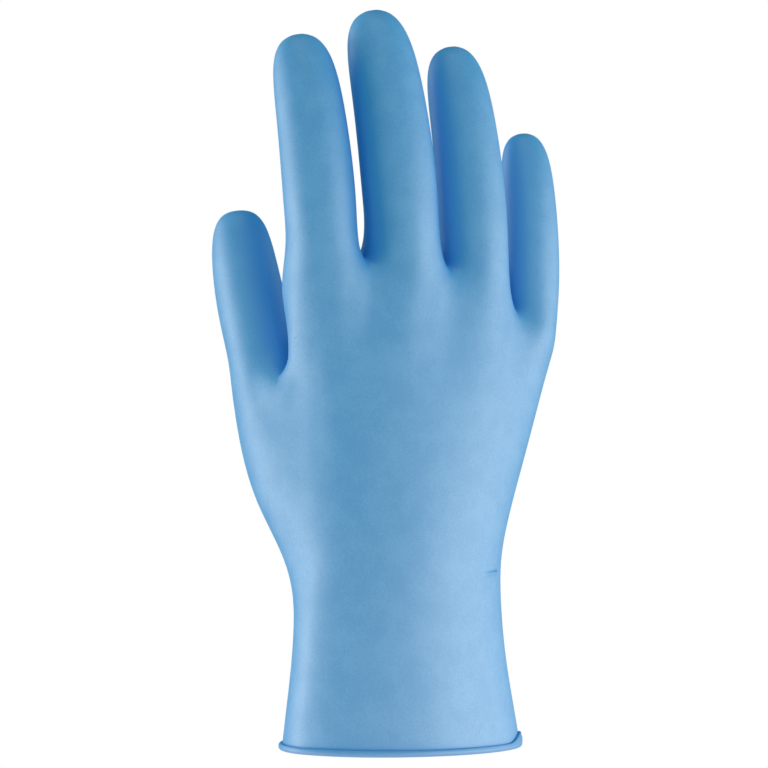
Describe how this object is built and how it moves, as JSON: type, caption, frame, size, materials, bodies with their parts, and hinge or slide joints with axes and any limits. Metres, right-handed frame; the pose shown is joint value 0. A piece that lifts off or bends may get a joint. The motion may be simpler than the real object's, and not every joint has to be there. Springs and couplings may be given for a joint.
{
  "type": "nitrile exam glove",
  "caption": "Thin one-piece dipped glove in its worn shape: rolled cuff bead, narrow wrist, palm with the ball of the thumb, thumb and fingers with rounded tips, open at the cuff.",
  "frame": {"origin": "centre of the open mouth at the cuff, where the wrist goes in, level with the lower edge of the rolled bead there. The bead slopes slightly, 1 mm lower on the little finger's side and 1 mm higher on the thumb's", "axes": "+Z runs from the cuff towards the fingertips, +X from the thumb towards the little finger, and -Y is out of the back of the hand"},
  "size_m": [0.1108, 0.0701, 0.2399],
  "materials": {
    "nitrile_film": "matte light blue dipped nitrile film, finely textured, powder free"
  },
  "bodies": {
    "root": {"glove_film": "nitrile_film"}
  },
  "joints": []
}
